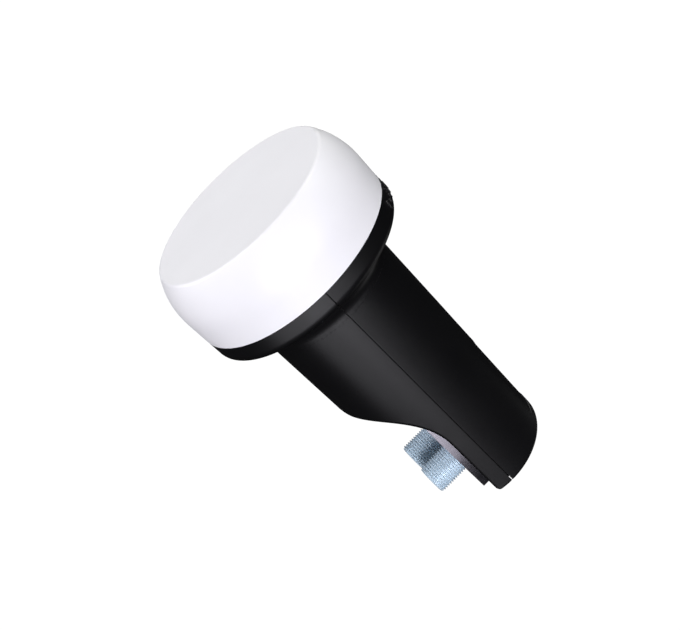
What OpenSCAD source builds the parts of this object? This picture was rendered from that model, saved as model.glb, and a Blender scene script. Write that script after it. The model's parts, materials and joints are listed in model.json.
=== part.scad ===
// Satellite LNB for a 40 mm feed clamp: white feed cap, black two-part shroud, cast feed horn
// with its chassis, converter board, and two threaded output ports.
// Frame: +X is the boresight, +Z is the top and the ports point down. The origin is on the
// boresight axis, at the middle of the neck. A station is a distance behind the cap's front face.

/* [Feed cap] */
// Outside diameter of the cap and of the collar behind it
cap_d = 59.6; // [58.6:0.2:64]
// Length of the visible white part
cap_l = 19.1; // [18.2:0.1:20.5]
// Wall of the cap
cap_wall = 1.4; // [1:0.1:1.7]
// Radius of the curved flank, seen in section
flank_r = 20.5; // [17:0.5:24]
// Length over which the flank curves in
flank_l = 12; // [10:0.5:13]
// Edge radius between the flat face and the flank
face_edge_r = 1.1; // [0.6:0.1:2]
// Clearance round the cap's skirt
cap_fit = 0.2; // [0.1:0.05:0.3]
// Height of the snap bead behind the feed's rim
bead_h = 0.6; // [0.4:0.05:0.7]
// Length of the snap bead
bead_l = 0.9; // [0.6:0.1:1]

/* [Cap seal] */
// Section diameter of the seal ring
seal_section = 1.56; // [1.4:0.02:1.56]
// Depth of its groove
groove_depth = 1.4; // [1.35:0.01:1.4]
// Width of its groove
groove_w = 1.8; // [1.7:0.05:2]

/* [Shroud] */
// Length over all
overall_l = 108.9; // [107:0.1:122]
// Neck diameter, the standard feed clamp size
neck_d = 40; // [39.6:0.1:42]
// Length of the neck that a clamp can hold
neck_l = 36.4; // [35:0.1:38]
// Wall of the shroud
shroud_wall = 1.6; // [1.3:0.1:1.7]
// Thickness of the flat rear end
end_wall = 1.8; // [1.4:0.1:2.4]
// Length of the black collar
collar_l = 5.8; // [5.3:0.1:6.5]
// Wall of the collar's lip
lip_wall = 1.6; // [1.2:0.1:1.8]
// Thickness of the web between collar and neck
web_t = 1.6; // [1.4:0.1:1.9]
// Rounding of the collar's rear edge
collar_edge_r = 1.2; // [0.6:0.1:1.5]
// Fillet between web and neck
web_fillet_r = 1.5; // [0.8:0.1:2]
// Rounding of the rear edge
rear_edge_r = 1.2; // [0.4:0.1:1.6]
// How much slimmer in radius the body is at its rear end, so that a clamp slides on from there
rear_taper = 0.05; // [0.03:0.01:0.2]

/* [Parting] */
// Open joint between the two halves
parting_gap = 0.2; // [0.1:0.05:0.3]
// Depth of the pry notch at the rear end of the parting line
pry_notch = 0.7; // [0.5:0.1:0.9]
// Height of the lap between the halves
lap_h = 1; // [0.6:0.1:1.4]
// Thickness of the lap
lap_t = 0.7; // [0.5:0.05:0.8]
// Clearance in the lap and at the snap arms
lap_fit = 0.05; // [0.03:0.01:0.1]
// Length of each snap arm along the neck
snap_l = 4; // [3:0.5:4.5]
// Thickness of each snap arm
snap_t = 1.1; // [0.9:0.1:1.4]
// Reach of each snap arm below the parting line
snap_reach = 5; // [4:0.5:6]
// Depth of the snap hooks
snap_hook = 0.5; // [0.3:0.05:0.6]
// Thickness of the cradle ribs under the feed tube
rib_t = 1.6; // [1:0.1:2]

/* [Port recess] */
// Radius of the curved front wall of the recess
recess_r = 22.8; // [21:0.1:25]
// Height of the straight lower edge below the axis
skirt_drop = 5.05; // [3.8:0.05:5.4]
// Rounding where the recess leaves the underside of the neck
recess_lead_r = 3; // [1.5:0.1:3.6]
// Corner radius of the lower edge at the rear end
skirt_corner_r = 2.5; // [1.5:0.1:3]

/* [Marks] */
// Angle between the marks of the skew scale
tick_step = 5.1; // [4:0.1:6]
// Marks on each side of the top
tick_count = 6; // [3:1:6]
// Length of a long mark
tick_long = 2.6; // [2:0.1:3.2]
// Length of a short mark
tick_short = 1.3; // [0.8:0.1:1.8]
// Width of a mark
tick_w = 0.55; // [0.4:0.05:0.8]
// Height of a mark above the collar
tick_h = 0.3; // [0.2:0.05:0.4]
// Length of the shallow field on top of the shroud
field_l = 28; // [20:0.5:32]
// Depth of the shallow field
field_depth = 0.18; // [0.1:0.02:0.3]
// Half of the angle that the shallow field covers
field_half_angle = 29; // [20:1:40]
// Plain band behind the shallow field
field_end_l = 3.8; // [3:0.1:6]

/* [Feed horn] */
// Bore of the round waveguide
guide_d = 17.5; // [17:0.1:18.2]
// Wall of the waveguide
guide_wall = 2; // [1.6:0.1:2.2]
// Length from the slot floor to the closed end of the waveguide
guide_l = 45; // [44:0.5:46]
// Thickness of that closed end
short_t = 2; // [1.5:0.1:2.5]
// Inside radius of the first ring, the horn's mouth
mouth_r = 12.2; // [11.6:0.1:12.6]
// Wall of each choke ring
ring_wall = 1.3; // [1:0.1:1.5]
// Distance from the outer choke ring to the edge of the rim behind it
ring_margin = 1.5; // [1:0.1:2.2]
// Number of choke rings
ring_count = 3; // [2:1:3]
// Depth of the first choke slot
horn_depth = 9; // [7:0.1:9.5]
// Step back from each ring to the next
ring_step = 1.3; // [0.8:0.1:1.6]
// Thickness of the plate behind the slots
plate_t = 2.5; // [2:0.1:3]
// Thickness of the cylindrical rim
rim_t = 2.6; // [2.2:0.1:3]
// Length of the tapered throat
throat_l = 11; // [9:0.5:13]

/* [Chassis] */
// Clearance between the chassis and the shroud
case_gap = 0.25; // [0.15:0.05:0.3]
// Wall of the chassis
case_wall = 1.8; // [1.5:0.1:2]
// Wall left along the top edge, which carries the cover
top_wall = 1.4; // [1.3:0.05:1.7]
// Height of the top edge above the axis
top_z = 11.8; // [11.6:0.05:12]
// Height of the board's underside above the axis
board_z = 9.9; // [9.8:0.05:10]
// Thickness of the deck under the board
deck_t = 1.5; // [1.2:0.1:1.8]
// Depth of the chassis floor below the axis
floor_drop = 4.5; // [4:0.1:4.7]
// Thickness of the floor ahead of the ports
floor_t = 1.6; // [1.2:0.1:2]
// Depth of the machined port face below the axis
port_face = 7.1; // [6.6:0.1:7.4]
// Clearance between the port face's block and the skirt
foot_gap = 0.5; // [0.3:0.05:0.7]
// Radius, seen from below, of that block's bulging sides
foot_side_r = 85; // [70:1:140]
// How far that block ends ahead of the chassis' rear end
foot_inset = 0.6; // [0.5:0.1:1.6]
// Width of the ledges under the board's edges
ledge_w = 1.4; // [1:0.1:1.6]
// Radius of the screw bosses
boss_r = 2.2; // [2:0.1:2.3]
// Distance from each boss to the side of the board's trough
boss_margin = 0.6; // [0.4:0.1:0.8]
// Depth of the screw bosses below the board
boss_drop = 5; // [4:0.1:5.5]
// Distance from the level probe back to the first cover screws
cover_boss_ahead = 5; // [4.6:0.1:5.6]
// Distance from the last cover screws' bosses to the rear of the chassis
cover_boss_back = 2.1; // [1.8:0.1:2.4]
// Distance from the port face's front edge to the rear board screws
board_boss_back = 9; // [8.6:0.1:9.6]
// Length of the deck ahead of the level probe
case_lead = 4.9; // [4.6:0.1:5.2]

/* [Cover and board] */
// Thickness of the cover
cover_t = 0.7; // [0.5:0.05:0.75]
// Thickness of the gasket
gasket_t = 0.3; // [0.2:0.02:0.32]
// Thickness of the board
board_t = 0.8; // [0.6:0.1:0.9]
// Clearance round the board
board_fit = 0.2; // [0.1:0.05:0.3]
// Shank radius of the screws
screw_r = 1; // [0.8:0.05:1.05]
// Head radius of the screws
head_r = 1.75; // [1.6:0.05:1.85]
// Head height of the screws
head_h = 1; // [0.8:0.05:1.05]
// Length of the screws under the head
screw_l = 3.4; // [3:0.1:4]
// Clearance of a screw in its hole
screw_fit = 0.02; // [0.01:0.01:0.05]

/* [Probes] */
// Radius of the probe pins
probe_r = 0.5; // [0.4:0.02:0.55]
// Height above the axis of the probes' tips
probe_tip = 4.2; // [3.5:0.1:5]
// Radius of the upright probe's sleeve
sleeve_r = 1.6; // [1.4:0.05:1.9]
// Clearance of the probes and sleeves
probe_fit = 0.03; // [0.02:0.01:0.05]
// Distance from the waveguide's closed end to the upright probe
upright_back = 12; // [11:0.1:12.5]
// Distance from the upright probe to the isolation pin
isolation_ahead = 4.5; // [4:0.1:5]
// Distance from the isolation pin to the level probe
level_ahead = 10; // [9:0.1:10.5]
// Radius of the isolation pin
isolation_r = 1; // [0.7:0.05:1.2]

/* [Chips] */
// Side of the square converter chip
chip_w = 5; // [3:0.5:6]
// Height of the converter chip
chip_h = 0.85; // [0.6:0.05:1]
// Distance from the waveguide's closed end to the converter chip
chip_back = 10; // [9:0.1:11]
// Side of each square transistor package
transistor_w = 1.8; // [1.4:0.1:2.2]
// Height of each transistor package
transistor_h = 0.6; // [0.5:0.05:1]
// Length of the crystal's can
crystal_l = 3.2; // [2:0.1:3.2]
// Width of the crystal's can
crystal_w = 2.5; // [1.6:0.1:2.5]
// Distance from the waveguide's closed end to the crystal
crystal_back = 18; // [17:0.1:18.5]
// Length of each regulator
regulator_l = 2.6; // [2:0.1:3]
// Width of each regulator
regulator_w = 4.5; // [3:0.1:5]
// Distance from the ports forward to the regulators
regulator_ahead = 9; // [8.5:0.1:9.3]
// Length of each small filter capacitor
capacitor_l = 1.6; // [1:0.1:1.6]
// Width of each small filter capacitor
capacitor_w = 0.8; // [0.5:0.1:1]
// Length of each output capacitor
output_capacitor_l = 2.5; // [2:0.1:2.6]
// Distance from the ports forward to the output capacitors
output_ahead = 5; // [4.6:0.1:5.2]
// Length of each bias choke
choke_l = 2.4; // [2:0.1:2.6]
// Width of each bias choke
choke_w = 2; // [1.4:0.1:2.2]
// Height of the regulators, the chokes and the output capacitors
tall_h = 1.1; // [0.9:0.05:1.2]
// Height of the small packages
low_h = 0.7; // [0.5:0.05:0.9]

/* [Output ports] */
// Outside diameter of the 3/8-32 thread
thread_d = 9.4; // [9.35:0.01:9.5]
// Length of the threaded barrel below the port face
thread_l = 9.8; // [9:0.1:9.8]
// Distance between the two ports
port_pitch = 12.7; // [12.6:0.1:12.9]
// Distance from the ports to the rear end
port_back = 9.8; // [9.2:0.1:10.2]
// Chamfer at the free end of the thread
thread_chamfer = 0.6; // [0.4:0.05:0.8]
// Bore of each port
port_bore = 6.6; // [6:0.1:7]
// Diameter of the spigot pressed into the chassis
spigot_d = 8.6; // [8:0.1:9]
// Clearance of the pressed and inserted pieces
port_fit = 0.02; // [0.01:0.01:0.04]
// Radius of the spring contact
contact_r = 0.9; // [0.8:0.02:1]
// Radius of the contact's tail, which is soldered in the board
tail_r = 0.55; // [0.45:0.02:0.6]

/* [Hidden] */
$fn = 96;
// Overlap that keeps fused shapes and cuts clean
eps = 0.1;
// Larger than anything that it has to cut
big = 90;

// Radii of the shroud, from the outside in
neck_r = neck_d / 2;
shroud_in_r = neck_r - shroud_wall;
collar_r = cap_d / 2;
lip_in_r = collar_r - lip_wall;
skirt_out_r = lip_in_r - cap_fit;
skirt_in_r = skirt_out_r - cap_wall;
rim_r = skirt_in_r - cap_fit;
rim_in_r = rim_r - rim_t;
ring_pitch = (rim_r - ring_margin - ring_wall - mouth_r) / (ring_count - 1);

// Stations of the shroud, from the front
collar_end = cap_l + collar_l;
web_front = collar_end - web_t;
neck_front = collar_end + web_fillet_r;
neck_end = neck_front + neck_l;
neck_mid = (neck_front + neck_end) / 2;
field_end = overall_l - field_end_l;

// The recess: one arc from the underside of the neck up to the straight lower edge
recess_z = -skirt_drop - recess_r;
recess_t = neck_end + sqrt(pow(recess_r, 2) - pow(neck_r + recess_z, 2));
// The curved wall reaches a little below the port face, and the foot starts behind its end
foot_cover = 0.3;
wall_end_gap = 0.2;
foot_front = recess_t - sqrt(pow(recess_r, 2) - pow(-port_face - foot_cover - recess_z, 2));

// Radius of the body behind the neck, at a station
function body_r(t) = neck_r - rear_taper * (t - neck_end) / (overall_l - neck_end);
rear_r = neck_r - rear_taper;

// Stations and radii of the casting
skirt_end = web_front - 0.3;
rim_step = skirt_end - bead_l - 0.05;
rim_step_h = 0.8;
slot_floor = web_front - 9.9;
mouth = slot_floor - horn_depth;
throat_end = slot_floor + throat_l;
guide_r = guide_d / 2;
tube_r = guide_r + guide_wall;
guide_end = slot_floor + guide_l;
case_r = shroud_in_r - case_gap;
case_rear_gap = 0.2;
case_rear = overall_l - end_wall - case_rear_gap;
case_half_w = sqrt(pow(shroud_in_r, 2) - pow(skirt_drop, 2)) - foot_gap;
box_floor = guide_end + short_t;
// Behind this station the skirt is high enough for the foot to have its full width
foot_clear_z = -sqrt(pow(case_r, 2) - pow(case_half_w, 2));
foot_clear = recess_t - sqrt(pow(recess_r, 2) - pow(foot_clear_z - recess_z, 2)) + 0.3;

// Places along the waveguide
upright_t = guide_end - upright_back;
isolation_t = upright_t - isolation_ahead;
level_t = isolation_t - level_ahead;
case_front = level_t - case_lead;
level_leg_y = tube_r + 0.25;
sleeve_half = sleeve_r - 0.1;

// The trough that holds the board, and the cover over it
trough_front = case_front + case_wall;
trough_rear = case_rear - case_wall;
trough_half = sqrt(pow(case_r, 2) - pow(top_z, 2)) - top_wall;
board_half = trough_half - board_fit;
board_top = board_z + board_t;
cover_half = trough_half + top_wall - 0.75;
cover_inset = 0.4;
cover_z = top_z + gasket_t;
boss_y = trough_half - boss_r - boss_margin;
cover_boss_t = [level_t + cover_boss_ahead, box_floor + boss_r + 0.2, case_rear - boss_r - cover_boss_back];
board_boss_t = [upright_t + upright_back / 2, foot_front + board_boss_back];
cover_bosses = [for (t = cover_boss_t, s = [-1, 1]) [t, s * boss_y]];
board_bosses = [for (t = board_boss_t, s = [-1, 1]) [t, s * boss_y]];
screw_hole_r = screw_r + screw_fit;

// Ports
port_t = overall_l - port_back;
port_y = port_pitch / 2;
thread_r = thread_d / 2;
thread_end = -port_face - thread_l;
spigot_top = -floor_drop + 0.6;
bore_top = spigot_top - 1.6;
insulator_recess = 0.5;
contact_end = thread_end + 1.7;
tail_end = board_top + 0.3;

// X of a station
function ax(t) = neck_mid - t;

// Turns a section drawn as radius and station about the boresight
module turned() {
    translate([neck_mid, 0, 0]) rotate([0, 90, 0]) rotate_extrude() mirror([0, 1]) children();
}

// A rectangle in that section
module band(r0, r1, t0, t1) {
    translate([r0, t0]) square([r1 - r0, t1 - t0]);
}

// A round bar on the boresight between two stations
module rod(r, from, to) {
    translate([ax(to), 0, 0]) rotate([0, 90, 0]) cylinder(r = r, h = to - from);
}

// A tube on the boresight between two stations
module tube(r_in, r_out, from, to) {
    difference() {
        rod(r_out, from, to);
        rod(r_in, from - eps, to + eps);
    }
}

// A block between two stations, two widths and two heights
module block(from, to, y0, y1, z0, z1) {
    translate([ax(to), y0, z0]) cube([to - from, y1 - y0, z1 - z0]);
}

// An upright round bar at a station
module post(t, y, r, z0, z1) {
    translate([ax(t), y, z0]) cylinder(r = r, h = z1 - z0);
}

// A level round bar across the part, at a station and a height
module crossbar(t, z, r, y0, y1) {
    translate([ax(t), y0, z]) rotate([-90, 0, 0]) cylinder(r = r, h = y1 - y0);
}

// Section of the cap's outside, set in by a wall
module cap_outline(inset, edge) {
    centre_r = collar_r - flank_r;
    arc = flank_r - inset;
    edge_r = centre_r + sqrt(pow(arc - edge, 2) - pow(flank_l - inset - edge, 2));
    touch_t = flank_l - (flank_l - inset - edge) * arc / (arc - edge);
    intersection() {
        translate([centre_r, flank_l]) circle(r = arc);
        band(0, collar_r, touch_t, flank_l + eps);
    }
    translate([edge_r, inset + edge]) circle(r = edge);
    band(0, edge_r, inset, flank_l + eps);
    band(0, collar_r - inset, flank_l, cap_l);
}

module feed_cap() {
    shoulder = cap_l - cap_wall;
    color("white") turned() {
        difference() {
            cap_outline(0, face_edge_r);
            difference() {
                cap_outline(cap_wall, face_edge_r / 2);
                band(0, collar_r, shoulder, cap_l + eps);
            }
            band(-eps, skirt_in_r, shoulder - eps, cap_l + eps);
        }
        band(skirt_in_r, skirt_out_r, cap_l - eps, skirt_end);
        band(skirt_in_r - bead_h, skirt_in_r + eps, skirt_end - bead_l, skirt_end);
    }
}

module cap_seal() {
    ring_r = seal_section / 2;
    color("dimgray") turned()
        translate([rim_r - groove_depth + ring_r + 0.03, cap_l + 0.2 + groove_w / 2]) circle(r = ring_r);
}

// Section of the horn, its rim and the waveguide
module horn_section() {
    difference() {
        union() {
            for (k = [0 : ring_count - 1]) {
                ring_r = mouth_r + k * ring_pitch;
                band(ring_r, ring_r + ring_wall, mouth + k * ring_step, slot_floor + eps);
            }
            band(mouth_r, rim_r, slot_floor, slot_floor + plate_t);
            band(rim_in_r, rim_r, slot_floor, rim_step);
            band(rim_in_r, rim_r - rim_step_h, rim_step - eps, web_front);
            polygon([[mouth_r, slot_floor], [mouth_r + 2.3, slot_floor + plate_t],
                     [tube_r, throat_end], [guide_r, throat_end]]);
            band(guide_r, tube_r, throat_end - eps, guide_end + eps);
        }
        band(rim_r - groove_depth, rim_r + eps, cap_l + 0.2, cap_l + 0.2 + groove_w);
        polygon([[0, slot_floor], [mouth_r, slot_floor], [guide_r, throat_end], [0, throat_end]]);
    }
}

// The block that carries the port face, set in by a wall, between two heights
module foot(inset, z0, z1) {
    rear = case_rear - foot_inset;
    mid_t = (foot_front + rear) / 2;
    translate([0, 0, z0]) linear_extrude(z1 - z0) intersection() {
        translate([ax(rear) + inset, -big]) square([rear - foot_front - 2 * inset, 2 * big]);
        translate([ax(mid_t), foot_side_r - case_half_w]) circle(r = foot_side_r - inset);
        translate([ax(mid_t), case_half_w - foot_side_r]) circle(r = foot_side_r - inset);
    }
}

// The outside of the deck over the waveguide and of the box behind it
module case_outside() {
    intersection() {
        rod(case_r, case_front, case_rear);
        union() {
            block(case_front, guide_end + eps, -big, big, board_z - deck_t, top_z);
            block(guide_end, case_rear, -case_half_w, case_half_w, -floor_drop, top_z);
        }
    }
    intersection() {
        foot(0, -port_face, -floor_drop + eps);
        union() {
            rod(case_r, foot_front, foot_clear + eps);
            block(foot_clear, case_rear, -big, big, -big, 0);
        }
    }
}

// The space for the board, and the deep space under it behind the waveguide
module case_inside() {
    block(trough_front, trough_rear, -trough_half, trough_half, board_z, top_z + eps);
    block(box_floor, trough_rear, -board_half + ledge_w, board_half - ledge_w, 0, board_z + eps);
    intersection() {
        rod(case_r - case_wall, box_floor, trough_rear);
        block(box_floor, trough_rear, -case_half_w + case_wall, case_half_w - case_wall,
              -floor_drop + floor_t, board_z - deck_t);
    }
    foot(case_wall, -floor_drop, 0);
}

// Bosses for the cover's and the board's screws, with the shield wall between the two chambers
module case_bosses() {
    for (p = cover_bosses) post(p[0], p[1], boss_r, board_z - deck_t, top_z);
    for (p = board_bosses) post(p[0], p[1], boss_r, board_z - boss_drop, board_z);
    intersection() {
        rod(case_r - eps, foot_front, foot_front + case_wall);
        block(foot_front, foot_front + case_wall, -case_half_w + eps, case_half_w - eps,
              -floor_drop, board_z - eps);
    }
}

// The block beside the waveguide that carries the level probe's sleeve
module level_probe_ears() {
    block(level_t - sleeve_half - 1, level_t + sleeve_half + 1, guide_r + 0.2,
          level_leg_y + sleeve_half + 0.6, -sleeve_half - 1, board_z - deck_t + eps);
}

module feed_casting() {
    color("silver") difference() {
        union() {
            difference() {
                union() {
                    turned() horn_section();
                    case_outside();
                    level_probe_ears();
                    rod(tube_r, guide_end - eps, box_floor);
                }
                case_inside();
            }
            case_bosses();
        }
        rod(guide_r, throat_end - eps, guide_end);
        for (p = concat(cover_bosses, board_bosses))
            post(p[0], p[1], screw_hole_r, board_z - boss_drop - eps, top_z + eps);
        post(upright_t, 0, sleeve_r + probe_fit, 0, board_z + eps);
        block(level_t - sleeve_half - probe_fit, level_t + sleeve_half + probe_fit,
              level_leg_y - sleeve_half - probe_fit, big, -sleeve_half - probe_fit, board_z);
        crossbar(level_t, 0, sleeve_half + probe_fit, 0, level_leg_y);
        crossbar(isolation_t, 0, isolation_r + probe_fit, -tube_r - eps, tube_r + eps);
        for (y = [-port_y, port_y])
            post(port_t, y, spigot_d / 2 + port_fit, -port_face - eps, -floor_drop + eps);
    }
}

// Section of both shroud halves together, filled
module shroud_outline() {
    band(0, collar_r, cap_l, collar_end - collar_edge_r);
    band(0, collar_r - collar_edge_r, cap_l, collar_end);
    translate([collar_r - collar_edge_r, collar_end - collar_edge_r]) circle(r = collar_edge_r);
    difference() {
        band(0, neck_r + web_fillet_r, collar_end - eps, neck_front);
        translate([neck_r + web_fillet_r, neck_front]) circle(r = web_fillet_r);
    }
    band(0, neck_r, collar_end, neck_end);
    polygon([[0, neck_end - eps], [neck_r, neck_end - eps], [neck_r, neck_end],
             [rear_r, overall_l - rear_edge_r], [0, overall_l - rear_edge_r]]);
    band(0, rear_r - rear_edge_r, neck_end, overall_l);
    translate([rear_r - rear_edge_r, overall_l - rear_edge_r]) circle(r = rear_edge_r);
}

// Section of the space inside the shroud
module shroud_space() {
    band(-eps, lip_in_r, cap_l - eps, web_front);
    band(-eps, shroud_in_r, web_front - eps, overall_l - end_wall);
}

// The shroud with its pry notches, not yet parted
module whole_shroud() {
    difference() {
        turned() difference() {
            shroud_outline();
            shroud_space();
        }
        for (y = [-neck_r - 1, neck_r - pry_notch])
            block(overall_l - 1.4 * pry_notch, overall_l + eps, y, y + pry_notch + 1,
                  -pry_notch / 2 - parting_gap, pry_notch / 2);
    }
}

// One side of the parting plane
module above(z) { block(0, overall_l + eps, -big, big, z, big); }
module below(z) { block(0, overall_l + eps, -big, big, -big, z); }

// Stations of the snap arms and of the cradle ribs between them
snap_stations = [isolation_t - snap_l - 2.5, upright_t + 1.5];
rib_stations = [isolation_t + 0.7, guide_end - 2.8];

// The inner part of the wall along both sides, in the body and in the collar's lip
module lap_strips(fit, z0, z1) {
    intersection() {
        union() {
            tube(shroud_in_r - fit, shroud_in_r + lap_t + fit, neck_front, overall_l - end_wall);
            tube(lip_in_r - fit, lip_in_r + lap_t + fit, cap_l + 0.3 - fit, web_front);
        }
        block(0, overall_l, -big, big, z0, z1);
    }
}

// The lap that reaches down inside the lower half, and the snap arms with their hooks
module lap_and_arms() {
    lap_strips(0, lap_fit - lap_h, eps);
    arm_out_r = shroud_in_r - lap_fit;
    for (t = snap_stations) {
        intersection() {
            tube(arm_out_r - snap_t, arm_out_r, t, t + snap_l);
            block(t, t + snap_l, -big, big, -snap_reach, snap_reach / 2);
        }
        intersection() {
            tube(arm_out_r - snap_t, shroud_in_r + eps, t, t + snap_l);
            block(t, t + snap_l, -big, big, lap_h / 2, snap_reach / 2);
        }
        intersection() {
            tube(arm_out_r - eps, arm_out_r + snap_hook, t, t + snap_l);
            block(t, t + snap_l, -big, big, 1 - snap_reach, 2 - snap_reach);
        }
    }
}

// Raised marks on top of the collar, the outer and the middle ones long
module skew_marks() {
    for (k = [-tick_count : tick_count]) {
        length = k == 0 || abs(k) == tick_count ? tick_long : tick_short;
        back = collar_end - collar_edge_r - 0.2;
        rotate([k * tick_step, 0, 0])
            block(back - length, back, -tick_w / 2, tick_w / 2, collar_r - tick_h, collar_r + tick_h);
    }
}

// The shallow field on top, parallel to the tapered surface
module top_field() {
    start = field_end - field_l;
    intersection() {
        turned() polygon([[body_r(start) - field_depth, start], [neck_r + eps, start],
                          [neck_r + eps, field_end], [body_r(field_end) - field_depth, field_end]]);
        translate([ax(field_end), 0, 0]) rotate([0, 90, 0]) linear_extrude(field_l)
            polygon([[0, 0], [-big, -big * tan(field_half_angle)], [-big, big * tan(field_half_angle)]]);
    }
}

module upper_shroud() {
    color([0.09, 0.09, 0.1]) difference() {
        union() {
            intersection() {
                whole_shroud();
                above(0);
            }
            lap_and_arms();
            skew_marks();
        }
        top_field();
    }
}

// Side view of the port recess: the arc, the straight lower edge and both rounded corners
module recess_section() {
    lead_z = recess_lead_r - neck_r;
    lead_t = recess_t - sqrt(pow(recess_r + recess_lead_r - 0.02, 2) - pow(lead_z - recess_z, 2));
    corner_t = overall_l - skirt_corner_r;
    translate([-recess_t, recess_z]) circle(r = recess_r);
    translate([-overall_l - eps, -big]) square([overall_l + eps - recess_t, big - skirt_drop]);
    difference() {
        polygon([[-lead_t, lead_z], [-recess_t, recess_z], [-recess_t, -big], [-lead_t, -big]]);
        translate([-lead_t, lead_z]) circle(r = recess_lead_r);
    }
    difference() {
        translate([-overall_l - eps, -skirt_drop - eps])
            square([skirt_corner_r + eps, skirt_corner_r + eps]);
        translate([-corner_t, skirt_corner_r - skirt_drop]) circle(r = skirt_corner_r);
    }
}

module recess_cut() {
    translate([neck_mid, big, 0]) rotate([90, 0, 0]) linear_extrude(2 * big) recess_section();
}

// The curved wall that closes the shroud over the recess
module recess_wall() {
    intersection() {
        rod(shroud_in_r + eps, neck_front, foot_front - wall_end_gap);
        crossbar(recess_t, recess_z, recess_r + shroud_wall, -big, big);
        below(-skirt_drop);
    }
}

// Half rings that carry the feed tube
module cradle_ribs() {
    for (t = rib_stations) intersection() {
        tube(tube_r + 0.2, shroud_in_r + eps, t, t + rib_t);
        below(-0.3);
    }
}

module lower_shroud() {
    window_r = shroud_in_r + snap_hook + lap_fit;
    color([0.09, 0.09, 0.1]) difference() {
        union() {
            intersection() {
                whole_shroud();
                below(-parting_gap);
            }
            recess_wall();
            cradle_ribs();
        }
        recess_cut();
        lap_strips(lap_fit, -lap_h, eps);
        for (t = snap_stations) intersection() {
            tube(shroud_in_r - eps, window_r, t - 0.2, t + snap_l + 0.2);
            block(t - 0.2, t + snap_l + 0.2, -big, big, 0.8 - snap_reach, 2.1 - snap_reach);
        }
    }
}

module chassis_cover() {
    color("lightsteelblue") difference() {
        block(case_front + cover_inset, case_rear - cover_inset, -cover_half, cover_half,
              cover_z, cover_z + cover_t);
        for (p = cover_bosses) post(p[0], p[1], screw_hole_r, cover_z - eps, cover_z + cover_t + eps);
    }
}

module cover_gasket() {
    color("black") difference() {
        union() {
            difference() {
                block(case_front + cover_inset, case_rear - cover_inset, -cover_half, cover_half,
                      top_z, cover_z);
                block(trough_front, trough_rear, -trough_half, trough_half, top_z - eps, cover_z + eps);
            }
            for (p = cover_bosses) post(p[0], p[1], boss_r, top_z, cover_z);
        }
        for (p = cover_bosses) post(p[0], p[1], screw_hole_r, top_z - eps, cover_z + eps);
    }
}

// A pan head screw with a cross recess, seated at a height
module screw(t, y, seat) {
    difference() {
        union() {
            post(t, y, screw_r, seat - screw_l, seat + eps);
            post(t, y, head_r, seat, seat + head_h);
        }
        for (a = [0, 90]) translate([ax(t), y, seat + head_h]) rotate([0, 0, a])
            cube([head_r * 1.2, 0.35, head_h], center = true);
    }
}

module cover_screws() {
    color("gainsboro") for (p = cover_bosses) screw(p[0], p[1], cover_z + cover_t);
}

module board_screws() {
    color("gainsboro") for (p = board_bosses) screw(p[0], p[1], board_top);
}

module main_board() {
    color("darkgreen") difference() {
        block(trough_front + board_fit, trough_rear - board_fit, -board_half, board_half,
              board_z, board_top);
        for (p = cover_bosses) {
            post(p[0], p[1], boss_r + board_fit, board_z - eps, board_top + eps);
            side = p[1] > 0 ? p[1] : -big;
            block(p[0] - boss_r - board_fit, p[0] + boss_r + board_fit, side, side + big - abs(p[1]),
                  board_z - eps, board_top + eps);
        }
        for (p = board_bosses) post(p[0], p[1], screw_hole_r, board_z - eps, board_top + eps);
        post(upright_t, 0, probe_r + probe_fit, board_z - eps, board_top + eps);
        post(level_t, level_leg_y, probe_r + probe_fit, board_z - eps, board_top + eps);
        for (y = [-port_y, port_y]) post(port_t, y, tail_r + port_fit, board_z - eps, board_top + eps);
    }
}

// A flat package on the board, centred at a station and a width
module package(t, y, l, w, h) {
    block(t - l / 2, t + l / 2, y - w / 2, y + w / 2, board_top, board_top + h);
}

module lna_transistors() {
    color("dimgray") {
        package(level_t + 1, level_leg_y - 4, transistor_w, transistor_w, transistor_h);
        package(upright_t + 4, 0, transistor_w, transistor_w, transistor_h);
        for (s = [-1, 1]) package(guide_end, s * 3.5, transistor_w, transistor_w, transistor_h);
    }
}

module converter_chip() {
    color("black") package(guide_end + chip_back, 0, chip_w, chip_w, chip_h);
}

module reference_crystal() {
    color("silver") package(guide_end + crystal_back, 0, crystal_l, crystal_w, low_h);
}

module voltage_regulators() {
    color("black") for (s = [-1, 1])
        package(port_t - regulator_ahead, s * regulator_w, regulator_l, regulator_w, tall_h);
}

// A row at the chip's inputs, a row on each side of it, and one at each output
module filter_capacitors() {
    first_t = guide_end + chip_back - chip_w;
    side_y = chip_w;
    color("tan") {
        for (k = [-2 : 2])
            package(first_t, k * (capacitor_w + 1.2), capacitor_w, capacitor_l, low_h);
        for (k = [0 : 3], s = [-1, 1])
            package(first_t + 3 + k * (capacitor_l + 0.8), s * side_y, capacitor_l, capacitor_w, low_h);
        for (s = [-1, 1])
            package(port_t - output_ahead, s * (choke_w + 3.5), capacitor_l, output_capacitor_l, tall_h);
    }
}

module bias_chokes() {
    color("dimgray") for (s = [-1, 1])
        package(port_t - output_ahead - 0.5, s * choke_w, choke_w, choke_l, tall_h);
}

module upright_probe() {
    color("gold") post(upright_t, 0, probe_r, probe_tip, tail_end);
}

module upright_probe_sleeve() {
    color("white") difference() {
        post(upright_t, 0, sleeve_r, guide_r - 0.5, board_z);
        post(upright_t, 0, probe_r + probe_fit, 0, board_z + eps);
    }
}

// The level probe runs in from the side and turns up to the board
module level_probe() {
    color("gold") {
        crossbar(level_t, 0, probe_r, probe_tip, level_leg_y);
        translate([ax(level_t), level_leg_y, 0]) sphere(r = probe_r);
        post(level_t, level_leg_y, probe_r, 0, tail_end);
    }
}

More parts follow.
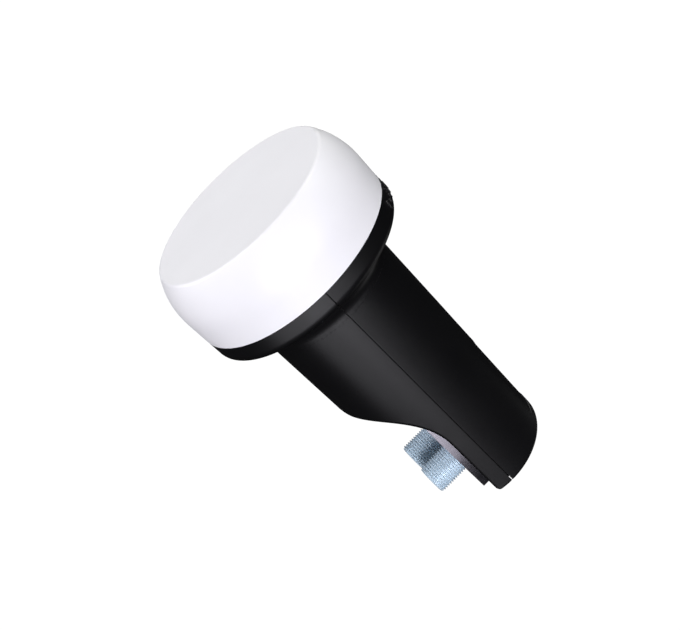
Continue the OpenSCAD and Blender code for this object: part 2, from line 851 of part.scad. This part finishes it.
module level_probe_sleeve() {
    pin_r = probe_r + probe_fit;
    color("white") difference() {
        union() {
            block(level_t - sleeve_half, level_t + sleeve_half, level_leg_y - sleeve_half,
                  level_leg_y + sleeve_half, -sleeve_half, board_z);
            crossbar(level_t, 0, sleeve_half, guide_r - 0.5, level_leg_y);
        }
        crossbar(level_t, 0, pin_r, 0, level_leg_y);
        translate([ax(level_t), level_leg_y, 0]) sphere(r = pin_r);
        post(level_t, level_leg_y, pin_r, 0, board_z + eps);
    }
}

module isolation_pin() {
    color("silver") crossbar(isolation_t, 0, isolation_r, -tube_r + 0.3, tube_r - 0.3);
}

// Output port: threaded barrel, spigot in the chassis and a bore for the insulator
module port_body(y) {
    bore_r = port_bore / 2;
    color("lightblue") translate([ax(port_t), y, 0]) difference() {
        union() {
            translate([0, 0, thread_end + thread_chamfer])
                cylinder(r = thread_r, h = thread_l - thread_chamfer);
            translate([0, 0, thread_end])
                cylinder(r1 = thread_r - thread_chamfer, r2 = thread_r, h = thread_chamfer);
            translate([0, 0, -port_face - eps])
                cylinder(r = spigot_d / 2, h = spigot_top + port_face + eps);
        }
        translate([0, 0, thread_end - eps]) cylinder(r = bore_r, h = bore_top - thread_end + eps);
        translate([0, 0, bore_top - eps]) cylinder(r = contact_r + 0.9, h = spigot_top - bore_top + 2 * eps);
    }
}

module port_insulator(y) {
    front = thread_end + insulator_recess;
    color("ivory") translate([ax(port_t), y, 0]) difference() {
        union() {
            translate([0, 0, front]) cylinder(r = port_bore / 2 - port_fit, h = bore_top - front - port_fit);
            translate([0, 0, bore_top - 1])
                cylinder(r = contact_r + 0.9 - port_fit, h = spigot_top - bore_top + 1);
        }
        translate([0, 0, contact_end])
            cylinder(r = contact_r + port_fit, h = spigot_top - contact_end + eps);
        translate([0, 0, front - eps]) cylinder(r = tail_r, h = contact_end - front + 2 * eps);
    }
}

module port_contact(y) {
    color("gold") translate([ax(port_t), y, 0]) difference() {
        union() {
            translate([0, 0, contact_end]) cylinder(r = contact_r, h = spigot_top - contact_end);
            translate([0, 0, spigot_top - eps]) cylinder(r = tail_r, h = tail_end - spigot_top + eps);
        }
        translate([0, 0, contact_end - eps]) cylinder(r = tail_r, h = 6);
    }
}

module left_port_body() { port_body(port_y); }
module right_port_body() { port_body(-port_y); }
module left_port_insulator() { port_insulator(port_y); }
module right_port_insulator() { port_insulator(-port_y); }
module left_port_contact() { port_contact(port_y); }
module right_port_contact() { port_contact(-port_y); }

feed_cap();
cap_seal();
feed_casting();
upper_shroud();
lower_shroud();
chassis_cover();
cover_gasket();
cover_screws();
main_board();
board_screws();
lna_transistors();
converter_chip();
reference_crystal();
voltage_regulators();
filter_capacitors();
bias_chokes();
upright_probe();
upright_probe_sleeve();
level_probe();
level_probe_sleeve();
isolation_pin();
left_port_body();
right_port_body();
left_port_insulator();
right_port_insulator();
left_port_contact();
right_port_contact();
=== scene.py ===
"""Looks of a satellite LNB: white feed cap, black two-part shroud and two threaded ports."""
import json
import math

import bmesh
import bpy
from mathutils import Matrix, Vector


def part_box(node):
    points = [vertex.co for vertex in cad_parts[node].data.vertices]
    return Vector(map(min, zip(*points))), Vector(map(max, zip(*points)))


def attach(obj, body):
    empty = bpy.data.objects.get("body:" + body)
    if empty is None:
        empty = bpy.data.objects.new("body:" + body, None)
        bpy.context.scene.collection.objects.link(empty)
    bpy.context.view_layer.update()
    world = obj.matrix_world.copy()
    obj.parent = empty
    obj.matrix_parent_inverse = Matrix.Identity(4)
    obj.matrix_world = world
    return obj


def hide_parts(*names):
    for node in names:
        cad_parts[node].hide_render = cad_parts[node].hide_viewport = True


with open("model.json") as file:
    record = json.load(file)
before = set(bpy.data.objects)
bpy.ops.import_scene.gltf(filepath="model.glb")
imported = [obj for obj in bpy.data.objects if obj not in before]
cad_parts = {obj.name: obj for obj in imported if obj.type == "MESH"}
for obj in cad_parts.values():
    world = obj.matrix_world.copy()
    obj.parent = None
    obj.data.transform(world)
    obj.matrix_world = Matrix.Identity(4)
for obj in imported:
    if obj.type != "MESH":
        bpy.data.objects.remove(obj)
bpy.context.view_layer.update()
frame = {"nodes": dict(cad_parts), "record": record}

MM = 0.001

# The front face of the cap. Places along the axis are measured back from it.
FACE_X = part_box("feed_cap")[1].x

# The camera, as fitted to the outlines in the photograph. The boresight line runs down to the
# right at 45 degrees in the picture, because the camera is rolled. AXIS_TURN is the angle between
# that line and the picture plane. FACE_DEPTH and FACE_OFFSET place the middle of the cap's face
# in front of the camera and beside its line of sight.
PHOTO_W = 680
FOCAL_PX = 900.0
SENSOR_WIDTH = 36.0
AXIS_TURN = math.radians(29.135)
FACE_DEPTH = 218.46 * MM
FACE_OFFSET = -37.21 * MM
PICTURE_ROLL = math.radians(45)
SHIFT_RIGHT_PX = 4.7
SHIFT_UP_PX = 3.7
CLIP_START = 0.01
CLIP_END = 50

# The floor and the background both read as plain white. The fill is the world's own light.
FLOOR_Z = -0.45
FLOOR_SIZE = 20
BACKDROP_GLOW = 1.05
WHITE = (1, 1, 1, 1)
FILL_COLOUR = (0.95, 0.97, 1, 1)
FILL_STRENGTH = 0.006

# The soft boxes stand on a sphere round the object: azimuth and elevation in degrees, power in
# watts and colour. Azimuth 0 is +Y and 90 is +X.
BOX_DISTANCE = 0.7
BOX_SIDE = 0.35
NEUTRAL = (1, 1, 1)
LILAC = (1.0, 0.985, 1.055)
SOFT_BOXES = {
    "side_low": (0, -15, 3.0, LILAC),
    "side_high": (0, 15, 2.0, LILAC),
    "front_high": (90, 45, 2.6, NEUTRAL),
    "front_low": (90, -15, 1.6, NEUTRAL),
    "far_low": (120, -45, 2.7, LILAC),
    "far_high": (150, 45, 0.8, NEUTRAL),
    "rear_under": (-30, -45, 0.5, LILAC),
    "rear_low": (-30, -15, 0.4, LILAC),
    "rim_line": (-105, 22, 0.11, NEUTRAL),
}

# Faces that meet at a larger angle than this keep a sharp edge between them.
SHARP_EDGE = math.radians(25)

# The 3/8-32 thread of the output ports. The crest and each flank take these shares of a pitch.
THREAD_PITCH = 25.4 / 32 * MM
THREAD_DEPTH = 0.6134 * THREAD_PITCH
CREST_SHARE = 0.125
FLANK_SHARE = 0.354
ROOT_START = CREST_SHARE + FLANK_SHARE
ROOT_END = 1 - FLANK_SHARE
THREAD_SIDES = 96
MERGE_DISTANCE = 1e-7

# Places in one pitch, and how deep the thread is there, from 0 at the crest to 1 at the root.
THREAD_STEPS = [
    (0, 0), (CREST_SHARE / 2, 0), (CREST_SHARE, 0), ((CREST_SHARE + ROOT_START) / 2, 0.5),
    (ROOT_START, 1), ((ROOT_START + ROOT_END) / 2, 1), (ROOT_END, 1), ((1 + ROOT_END) / 2, 0.5),
]

# The plain shape of the port body that carries the thread.
PORT_FACE_Z = -7.1 * MM
BORE_RADIUS = 3.3 * MM
BORE_DEPTH = 11.4 * MM
SPIGOT_RADIUS = 4.3 * MM
CONTACT_RADIUS = 1.8 * MM
CHAMFER = 0.6 * MM

# The flare runs from the back of the collar down to the neck, and ends as an arc that is tangent
# to the neck. Its slope is in degrees. It starts a little inside the collar, and its inside lies
# under the neck's surface. NECK_RADIUS is a trace less than the neck's own 20 mm, so the end
# that runs on past the arc is inside the wall and shows no edge.
COLLAR_BACK = 24.9 * MM
FLARE_SLOPE = 52
FLARE_RADIUS = 4.5 * MM
FLARE_END = 32.6 * MM
FLARE_TUCK = 0.1 * MM
FLARE_SINK = 0.3 * MM
FLARE_RUN_ON = 1 * MM
FLARE_STEPS = 18
FLARE_SIDES = 96
NECK_RADIUS = 19.995 * MM

# The upper half of the shroud ends at z = 0, and the lower half this far below it.
PARTING_GAP = 0.2 * MM

# The recess for the ports: a cylinder across the shroud, by the place of its axis, which runs
# on level to the rear.
RECESS_BACK = 84.2 * MM
RECESS_Z = -27.85 * MM
RECESS_RADIUS = 22.8 * MM

# The shading of the black plastic rounds its edges: the rear rim of the collar and the edge of
# the recess over a width, and every edge by a small radius.
RIM_ROUND = 2.6 * MM
RIM_WIDTH = 2.2 * MM
SKIRT_ROUND = 0.8 * MM
SKIRT_WIDTH = 0.7 * MM
EDGE_ROUND = 0.2 * MM
EDGE_SAMPLES = 8

# The skew scale on the collar has a mark every 5.1 degrees, and each mark stands for 5. The
# numbers lie behind the white cap and ahead of the short marks.
MARK_STEP = 5.1
MARK_VALUE = 5
NUMBERED_MARKS = (2, 4)
NUMBER_X = FACE_X - 20.6 * MM
NUMBER_HEIGHT = 1.7 * MM
NUMBER_RELIEF = 0.12 * MM
NUMBER_SMOOTHNESS = 4

# The refractive index of plastics, which all finishes share.
PLASTIC_IOR = 1.5


def add_object(name, data):
    """Puts a new object in the scene."""
    thing = bpy.data.objects.new(name, data)
    bpy.context.scene.collection.objects.link(thing)
    return thing


def make_camera():
    """Places the camera from the fitted turn, depth and offset of the cap's face."""
    along = Vector((-math.cos(AXIS_TURN), math.sin(AXIS_TURN), 0))
    forward = Vector((-math.sin(AXIS_TURN), -math.cos(AXIS_TURN), 0))
    up = Vector((0, 0, 1))
    right = along * math.cos(PICTURE_ROLL) + up * math.sin(PICTURE_ROLL)
    top = up * math.cos(PICTURE_ROLL) - along * math.sin(PICTURE_ROLL)
    data = bpy.data.cameras.new("camera")
    data.sensor_width = SENSOR_WIDTH
    data.lens = FOCAL_PX / PHOTO_W * SENSOR_WIDTH
    data.shift_x = -SHIFT_RIGHT_PX / PHOTO_W
    data.shift_y = -SHIFT_UP_PX / PHOTO_W
    data.clip_start = CLIP_START
    data.clip_end = CLIP_END
    camera = add_object("camera", data)
    place = Vector((FACE_X, 0, 0)) - along * FACE_OFFSET - forward * FACE_DEPTH
    turn = Matrix((right, top, -forward)).transposed().to_4x4()
    camera.matrix_world = Matrix.Translation(place) @ turn
    bpy.context.scene.camera = camera


def make_world():
    """A world that the camera sees as plain white, and that lights the object only faintly."""
    world = bpy.data.worlds.new("studio")
    bpy.context.scene.world = world
    world.use_nodes = True
    nodes, links = world.node_tree.nodes, world.node_tree.links
    nodes.clear()
    out = nodes.new("ShaderNodeOutputWorld")
    mix = nodes.new("ShaderNodeMixShader")
    path = nodes.new("ShaderNodeLightPath")
    seen = nodes.new("ShaderNodeBackground")
    fill = nodes.new("ShaderNodeBackground")
    seen.inputs["Color"].default_value = WHITE
    seen.inputs["Strength"].default_value = BACKDROP_GLOW
    fill.inputs["Color"].default_value = FILL_COLOUR
    fill.inputs["Strength"].default_value = FILL_STRENGTH
    links.new(path.outputs["Is Camera Ray"], mix.inputs["Fac"])
    links.new(fill.outputs[0], mix.inputs[1])
    links.new(seen.outputs[0], mix.inputs[2])
    links.new(mix.outputs[0], out.inputs["Surface"])


def make_floor():
    """A pale floor that reads as the same plain white."""
    bm = bmesh.new()
    bmesh.ops.create_grid(bm, x_segments=1, y_segments=1, size=FLOOR_SIZE)
    mesh = bpy.data.meshes.new("floor")
    bm.to_mesh(mesh)
    bm.free()
    floor = add_object("floor", mesh)
    floor.location.z = FLOOR_Z
    material = bpy.data.materials.new("floor")
    material.use_nodes = True
    nodes, links = material.node_tree.nodes, material.node_tree.links
    nodes.clear()
    out = nodes.new("ShaderNodeOutputMaterial")
    glow = nodes.new("ShaderNodeEmission")
    glow.inputs["Color"].default_value = WHITE
    glow.inputs["Strength"].default_value = BACKDROP_GLOW
    links.new(glow.outputs[0], out.inputs["Surface"])
    mesh.materials.append(material)
    floor.visible_diffuse = False
    floor.visible_glossy = False
    floor.visible_shadow = False


def light_object():
    """Adds the soft boxes, each a square area light aimed at the origin."""
    for name, (azimuth, elevation, power, colour) in SOFT_BOXES.items():
        turn, rise = math.radians(azimuth), math.radians(elevation)
        level = math.cos(rise)
        way = Vector((math.sin(turn) * level, math.cos(turn) * level, math.sin(rise)))
        data = bpy.data.lights.new(name, "AREA")
        data.shape = "SQUARE"
        data.size = BOX_SIDE
        data.energy = power
        data.color = colour
        light = add_object(name, data)
        light.location = way * BOX_DISTANCE
        light.rotation_mode = "QUATERNION"
        light.rotation_quaternion = (-way).to_track_quat("-Z", "Y")


def add_piece(name, data, slot):
    """Adds a new piece to the object, which is one body, with the finish of a slot."""
    piece = add_object(name, data)
    data.materials.append(FINISHES[slot])
    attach(piece, "root")
    return piece


def smooth_mesh(name, bm):
    """Turns a bmesh into a mesh that is smooth except at its sharp edges."""
    bmesh.ops.recalc_face_normals(bm, faces=bm.faces)
    for face in bm.faces:
        face.smooth = True
    for edge in bm.edges:
        edge.smooth = edge.calc_face_angle(0) < SHARP_EDGE
    mesh = bpy.data.meshes.new(name)
    bm.to_mesh(mesh)
    bm.free()
    return mesh


def thread_depth(phase):
    """Depth of the thread, 0 to 1, at a place in its pitch."""
    steps = THREAD_STEPS + [(1, 0)]
    for (start, a), (end, b) in zip(steps, steps[1:]):
        if phase <= end:
            return a + (b - a) * (phase - start) / (end - start)
    return 0


def port_mesh(name, low, high):
    """A port body with its helical thread, between the corners of the CAD node it replaces."""
    x, y = (low.x + high.x) / 2, (low.y + high.y) / 2
    crest = (high.x - low.x) / 2
    bottom, length = low.z, PORT_FACE_Z - low.z
    turns = math.ceil(length / THREAD_PITCH) + 2
    rows = [(turn + phase, depth) for turn in range(turns) for phase, depth in THREAD_STEPS]
    plain = [
        (SPIGOT_RADIUS, PORT_FACE_Z), (SPIGOT_RADIUS, high.z), (CONTACT_RADIUS, high.z),
        (CONTACT_RADIUS, bottom + BORE_DEPTH), (BORE_RADIUS, bottom + BORE_DEPTH),
        (BORE_RADIUS, bottom),
    ]
    bm = bmesh.new()
    columns = []
    for i in range(THREAD_SIDES):
        share = i / THREAD_SIDES
        angle = 2 * math.pi * share
        section = []
        for place, depth in rows:
            rise = (place - 1 + share) * THREAD_PITCH
            if rise <= 0 or rise >= length:
                rise = min(max(rise, 0), length)
                depth = thread_depth((rise / THREAD_PITCH + 1 - share) % 1)
            radius = min(crest - depth * THREAD_DEPTH, crest - CHAMFER + rise)
            section.append((radius, bottom + rise))
        columns.append([
            bm.verts.new((x + r * math.cos(angle), y + r * math.sin(angle), z))
            for r, z in section + plain
        ])
    # The last column meets the first one a pitch further on.
    last = len(rows) - 1
    for i, column in enumerate(columns):
        following = columns[(i + 1) % THREAD_SIDES]
        shift = len(THREAD_STEPS) if i == THREAD_SIDES - 1 else 0
        for j in range(len(column)):
            k = (j + 1) % len(column)
            a = min(j + shift, last) if j <= last else j
            b = min(k + shift, last) if 0 < k <= last else k
            ring = [column[j], following[a], following[b], column[k]]
            if len(set(ring)) > 2:
                bm.faces.new(dict.fromkeys(ring))
    bmesh.ops.remove_doubles(bm, verts=bm.verts, dist=MERGE_DISTANCE)
    return smooth_mesh(name, bm)


def thread_ports():
    """Puts threaded bodies in the place of the plain ones."""
    for side in ("left", "right"):
        low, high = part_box(side + "_port_body")
        name = side + "_port_thread"
        piece = add_piece(name, port_mesh(name, low, high), "bright_metal")
        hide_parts(side + "_port_body")


def flare_profile():
    """Section of the flare: distances behind the cap's face, and radii."""
    arc = []
    for i in range(FLARE_STEPS + 1):
        angle = math.radians(FLARE_SLOPE * (1 - i / FLARE_STEPS))
        back = FLARE_END - FLARE_RADIUS * math.sin(angle)
        arc.append((back, NECK_RADIUS + FLARE_RADIUS * (1 - math.cos(angle))))
    start = COLLAR_BACK - FLARE_TUCK
    top = arc[0][1] + (arc[0][0] - start) * math.tan(math.radians(FLARE_SLOPE))
    inside = NECK_RADIUS - FLARE_SINK
    end = FLARE_END + FLARE_RUN_ON
    return [(start, inside), (start, top)] + arc + [(end, NECK_RADIUS), (end, inside)]


def flare_mesh(name, side):
    """Half of the flare behind the collar: side is 1 above the parting line, -1 below."""
    profile = flare_profile()
    level = 0 if side > 0 else -PARTING_GAP
    bm = bmesh.new()
    rows = []
    for i in range(FLARE_SIDES + 1):
        row = []
        for back, r in profile:
            dip = math.asin(level / r)
            turn = dip + side * (math.pi - side * 2 * dip) * i / FLARE_SIDES
            row.append(bm.verts.new((FACE_X - back, r * math.cos(turn), r * math.sin(turn))))
        rows.append(row)
    for first, second in zip(rows, rows[1:]):
        for j in range(len(profile)):
            k = (j + 1) % len(profile)
            bm.faces.new((first[j], second[j], second[k], first[k]))
    bm.faces.new(rows[0])
    bm.faces.new(rows[-1])
    return smooth_mesh(name, bm)


def flare_neck():
    """Adds the flare between the collar and the neck, in two halves as the shroud is."""
    for name, side in (("upper_flare", 1), ("lower_flare", -1)):
        add_piece(name, flare_mesh(name, side), "black_plastic")


def number_scale():
    """Raised numbers beside the short marks of the skew scale, read from behind."""
    # The collar that carries the scale is as wide as the cap.
    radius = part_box("feed_cap")[1].y
    for side, turn in (("left", 1), ("right", -1)):
        for marks in NUMBERED_MARKS:
            value = str(MARK_VALUE * marks)
            name = "skew_number_" + side + "_" + value
            text = bpy.data.curves.new(name, "FONT")
            text.body = value
            text.size = NUMBER_HEIGHT
            text.align_x = "CENTER"
            text.align_y = "CENTER"
            text.extrude = NUMBER_RELIEF
            text.resolution_u = NUMBER_SMOOTHNESS
            piece = add_piece(name, text, "black_plastic")
            angle = math.radians(MARK_STEP * marks * turn)
            outward = Vector((0, math.sin(angle), math.cos(angle)))
            top = Vector((1, 0, 0))
            across = top.cross(outward)
            turned = Matrix((across, top, outward)).transposed().to_4x4()
            place = outward * radius + Vector((NUMBER_X, 0, 0))
            piece.matrix_world = Matrix.Translation(place) @ turned


class Finish:
    """A material under construction, with short calls for the nodes that all finishes share."""

    def __init__(self, name, colour, roughness, metallic=0.0):
        self.material = bpy.data.materials.new(name)
        self.material.use_nodes = True
        self.tree = self.material.node_tree
        self.shader = self.tree.nodes["Principled BSDF"]
        self.shader.inputs["Base Color"].default_value = (*colour, 1)
        self.shader.inputs["Roughness"].default_value = roughness
        self.shader.inputs["Metallic"].default_value = metallic
        self.shader.inputs["IOR"].default_value = PLASTIC_IOR
        self.bump = None
        self.place = self.tree.nodes.new("ShaderNodeTexCoord").outputs["Object"]

    def soften_edges(self, radius):
        """Takes the sharpness off the edges, to a radius in metres."""
        bevel = self.tree.nodes.new("ShaderNodeBevel")
        bevel.samples = EDGE_SAMPLES
        bevel.inputs["Radius"].default_value = radius
        self.bump = bevel.outputs["Normal"]
        self.tree.links.new(self.bump, self.shader.inputs["Normal"])

    def math(self, operation, first, second=0.0):
        """A sum on values or links."""
        step = self.tree.nodes.new("ShaderNodeMath")
        step.operation = operation
        for socket, value in zip(step.inputs, (first, second)):
            if isinstance(value, float):
                socket.default_value = value
            else:
                self.tree.links.new(value, socket)
        return step.outputs[0]

    def axis(self, name):
        """The object coordinate along X, Y or Z."""
        axes = self.tree.nodes.new("ShaderNodeSeparateXYZ")
        self.tree.links.new(self.place, axes.inputs[0])
        return axes.outputs[name]

    def round_off(self, distance, width, radius):
        """Rounds the surface off over a width, by its distance from the edge."""
        reach = self.math("SUBTRACT", width, distance)
        reach = self.math("MINIMUM", self.math("MAXIMUM", reach, 0.0), width)
        drop = self.math("SUBTRACT", radius * radius, self.math("MULTIPLY", reach, reach))
        # The height is already in metres, so its depth is 1.
        self.relief(self.math("SQRT", drop), 1.0)

    def from_rim(self):
        """Distance ahead of the back of the collar."""
        return self.math("SUBTRACT", self.axis("X"), FACE_X - COLLAR_BACK)

    def from_recess(self):
        """Distance out from the recess for the ports."""
        along = self.math("SUBTRACT", self.axis("X"), FACE_X - RECESS_BACK)
        along = self.math("MAXIMUM", along, 0.0)
        rise = self.math("SUBTRACT", self.axis("Z"), RECESS_Z)
        along_square = self.math("MULTIPLY", along, along)
        rise_square = self.math("MULTIPLY", rise, rise)
        reach = self.math("SQRT", self.math("ADD", along_square, rise_square))
        return self.math("SUBTRACT", reach, RECESS_RADIUS)

    def noise(self, scale, detail=2.0, stretch=(1, 1, 1)):
        """Noise in object space, at so many cycles a metre."""
        where = self.tree.nodes.new("ShaderNodeMapping")
        where.inputs["Scale"].default_value = stretch
        self.tree.links.new(self.place, where.inputs["Vector"])
        texture = self.tree.nodes.new("ShaderNodeTexNoise")
        texture.inputs["Scale"].default_value = scale
        texture.inputs["Detail"].default_value = detail
        self.tree.links.new(where.outputs["Vector"], texture.inputs["Vector"])
        return texture.outputs["Fac"]

    def ramp(self, value, low, high):
        """Carries a value from 0..1 to low..high."""
        step = self.tree.nodes.new("ShaderNodeMapRange")
        step.inputs["To Min"].default_value = low
        step.inputs["To Max"].default_value = high
        self.tree.links.new(value, step.inputs["Value"])
        return step.outputs["Result"]

    def colours(self, value, first, second, start=0.3, end=0.7):
        """Blends the base colour between two colours."""
        ramp = self.tree.nodes.new("ShaderNodeValToRGB")
        ramp.color_ramp.elements[0].position = start
        ramp.color_ramp.elements[0].color = (*first, 1)
        ramp.color_ramp.elements[1].position = end
        ramp.color_ramp.elements[1].color = (*second, 1)
        self.tree.links.new(value, ramp.inputs["Fac"])
        self.tree.links.new(ramp.outputs["Color"], self.shader.inputs["Base Color"])

    def rough(self, value, low, high):
        """Varies the roughness between two values."""
        self.tree.links.new(self.ramp(value, low, high), self.shader.inputs["Roughness"])

    def relief(self, value, depth, strength=1.0):
        """Adds bump of a depth in metres."""
        bump = self.tree.nodes.new("ShaderNodeBump")
        bump.inputs["Distance"].default_value = depth
        bump.inputs["Strength"].default_value = strength
        self.tree.links.new(value, bump.inputs["Height"])
        if self.bump:
            self.tree.links.new(self.bump, bump.inputs["Normal"])
        self.bump = bump.outputs["Normal"]
        self.tree.links.new(self.bump, self.shader.inputs["Normal"])


def white_plastic():
    """Moulded plastic with a fine grain, almost even in colour."""
    f = Finish("white_plastic", (0.84, 0.84, 0.86), 0.42)
    f.colours(f.noise(60), (0.83, 0.83, 0.845), (0.85, 0.85, 0.865))
    f.rough(f.noise(900), 0.38, 0.46)
    f.relief(f.noise(2500), 0.01 * MM, 0.5)
    return f.material


def black_plastic():
    """Deep black moulded plastic with a satin gloss and rounded edges."""
    f = Finish("black_plastic", (0.0025, 0.0025, 0.003), 0.35)
    f.soften_edges(EDGE_ROUND)
    f.round_off(f.from_rim(), RIM_WIDTH, RIM_ROUND)
    f.round_off(f.from_recess(), SKIRT_WIDTH, SKIRT_ROUND)
    f.colours(f.noise(80), (0.0022, 0.0022, 0.0026), (0.003, 0.003, 0.0034))
    f.rough(f.noise(1200), 0.33, 0.38)
    f.relief(f.noise(3500, 3), 0.005 * MM, 0.4)
    return f.material


def cast_metal():
    """Machined and cast alloy with a faint mauve tone."""
    f = Finish("cast_metal", (0.52, 0.5, 0.56), 0.24, metallic=1.0)
    f.colours(f.noise(300), (0.48, 0.46, 0.52), (0.56, 0.54, 0.6))
    f.rough(f.noise(700), 0.2, 0.28)
    f.relief(f.noise(1500, 4), 0.01 * MM, 0.4)
    return f.material


def bright_metal():
    """Pale blue-grey plating of the ports. It reflects little, as in the photograph."""
    f = Finish("bright_metal", (0.57, 0.69, 0.77), 0.4, metallic=0.2)
    f.colours(f.noise(500), (0.54, 0.66, 0.74), (0.6, 0.72, 0.8))
    f.rough(f.noise(900), 0.36, 0.46)
    return f.material


def steel_zinc():
    """Zinc-plated steel with a drawn grain."""
    f = Finish("steel_zinc", (0.6, 0.61, 0.62), 0.35, metallic=1.0)
    f.colours(f.noise(400, 3), (0.52, 0.53, 0.55), (0.66, 0.67, 0.68))
    f.rough(f.noise(1100, 2, (1, 8, 1)), 0.28, 0.45)
    f.relief(f.noise(1600, 2, (1, 10, 1)), 0.01 * MM, 0.4)
    return f.material


def seal_rubber():
    """Matt black rubber."""
    f = Finish("seal_rubber", (0.02, 0.02, 0.02), 0.7)
    f.rough(f.noise(900), 0.6, 0.8)
    f.relief(f.noise(2500), 0.02 * MM, 0.5)
    return f.material


def board():
    """Green circuit board with lighter streaks."""
    f = Finish("board", (0.01, 0.09, 0.035), 0.35)
    f.colours(f.noise(700, 1, (1, 3, 1)), (0.008, 0.07, 0.03), (0.02, 0.16, 0.07), 0.48, 0.52)
    f.rough(f.noise(600), 0.3, 0.42)
    return f.material


def chip_black():
    """Matt black moulding compound."""
    f = Finish("chip_black", (0.015, 0.015, 0.016), 0.55)
    f.rough(f.noise(3000), 0.5, 0.65)
    f.relief(f.noise(6000), 0.01 * MM, 0.5)
    return f.material


def capacitor_ceramic():
    """Tan ceramic."""
    f = Finish("capacitor_ceramic", (0.35, 0.24, 0.13), 0.5)
    f.colours(f.noise(3000), (0.3, 0.2, 0.1), (0.42, 0.3, 0.18))
    return f.material


def sleeve_white():
    """Clean white insulating plastic."""
    f = Finish("sleeve_white", (0.85, 0.85, 0.83), 0.4)
    f.rough(f.noise(1500), 0.35, 0.5)
    return f.material


def insulator_white():
    """Warm white insulating plastic with a fine grain."""
    f = Finish("insulator_white", (0.8, 0.79, 0.75), 0.45)
    f.rough(f.noise(1500), 0.4, 0.55)
    f.relief(f.noise(3000), 0.01 * MM, 0.4)
    return f.material


def contact_gold():
    """Gold plating."""
    f = Finish("contact_gold", (0.85, 0.62, 0.28), 0.25, metallic=1.0)
    f.rough(f.noise(1500), 0.2, 0.35)
    return f.material


MAKERS = [
    white_plastic, black_plastic, cast_metal, bright_metal, steel_zinc, seal_rubber,
    board, chip_black, capacitor_ceramic, sleeve_white, insulator_white, contact_gold,
]
FINISHES = {maker.__name__: maker() for maker in MAKERS}


def dress_cad_nodes():
    """Gives each CAD node the finish that the record names for it."""
    for part in frame["record"]["subparts"]:
        mesh = frame["nodes"][part["node"]].data
        mesh.materials.clear()
        mesh.materials.append(FINISHES[part["material_slot"]])


bpy.context.scene.view_settings.view_transform = "Standard"
make_camera()
make_world()
make_floor()
light_object()
dress_cad_nodes()
thread_ports()
flare_neck()
number_scale()
